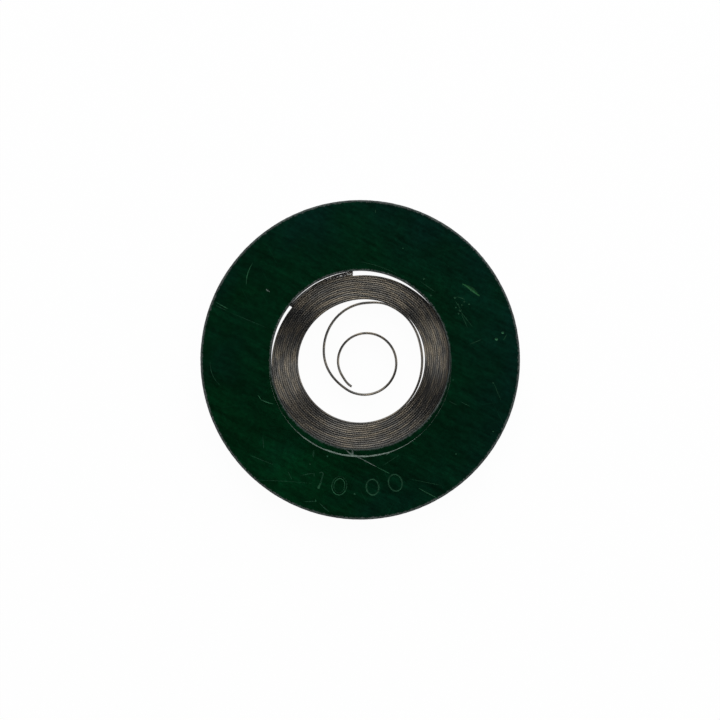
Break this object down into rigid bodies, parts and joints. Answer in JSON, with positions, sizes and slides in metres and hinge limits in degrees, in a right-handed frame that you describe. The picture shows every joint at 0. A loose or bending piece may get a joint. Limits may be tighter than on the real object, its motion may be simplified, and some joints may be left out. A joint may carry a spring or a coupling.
{
  "type": "spiral power spring",
  "caption": "Flat spiral mainspring wound into a round retaining ring, with an arbor eye at its inner end and a tongue at its outer end.",
  "frame": {"origin": "on the axis of the ring, in its lower face", "axes": "+Z along the ring's axis, out of its coloured face; +Y towards the outer end of the strip"},
  "size_m": [0.0178, 0.0178, 0.0015],
  "materials": {
    "ring": "dark green lacquer over brushed sheet metal, with bare punched edges",
    "strip": "satin spring steel",
    "tongue": "satin spring steel, darkened at the weld"
  },
  "bodies": {
    "root": {"retaining_ring": "ring", "mainspring": "strip", "end_tongue": "tongue"}
  },
  "joints": []
}
